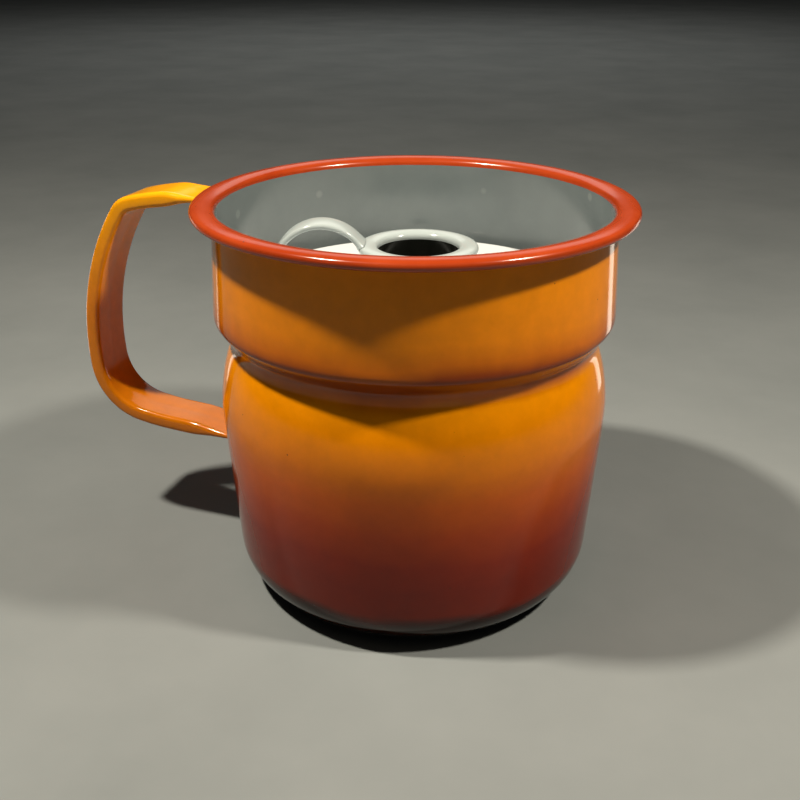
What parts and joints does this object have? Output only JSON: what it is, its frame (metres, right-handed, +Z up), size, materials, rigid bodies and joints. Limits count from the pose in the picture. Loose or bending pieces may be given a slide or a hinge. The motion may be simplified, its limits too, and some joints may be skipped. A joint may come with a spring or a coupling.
{
  "type": "enamelled milk boiler with boil-over insert",
  "caption": "Enamelled steel milk boiler: barrel pot with narrow neck and wide collar, rolled rim, strap handle and a loose chimney insert that catches rising milk.",
  "frame": {"origin": "centre of the flat base, on the axis of the pot", "axes": "+Z up along the pot's axis, the handle points towards -X, +Y completes a right-handed frame, level with +X"},
  "size_m": [0.2472, 0.18, 0.1689],
  "materials": {
    "bare_steel": "drawn sheet steel core, fully covered by enamel",
    "flame_enamel": "gloss enamel, yellow-orange above fading to brick red at the foot",
    "grey_enamel": "gloss blue-grey enamel",
    "rim_red_enamel": "gloss orange-red enamel",
    "base_black_enamel": "gloss black ground enamel",
    "handle_enamel": "steel under gloss orange enamel, fading to red below",
    "white_enamel": "steel under gloss white enamel"
  },
  "bodies": {
    "pot": {"pot_shell": "bare_steel", "outer_enamel": "flame_enamel", "inner_enamel": "grey_enamel", "rim_enamel": "rim_red_enamel", "base_enamel": "base_black_enamel", "handle": "handle_enamel", "handle_upper_weld": "handle_enamel", "handle_lower_weld": "handle_enamel"},
    "insert": {"insert_plate": "white_enamel", "chimney": "white_enamel", "chimney_weld": "white_enamel", "finger_loop": "white_enamel", "loop_lip_weld": "white_enamel", "loop_foot_weld": "white_enamel"}
  },
  "joints": [
    {"name": "insert_lift", "type": "slide", "parent": "pot", "child": "insert", "axis": [0, 0, 1], "range_m": [0, 0.06]}
  ]
}
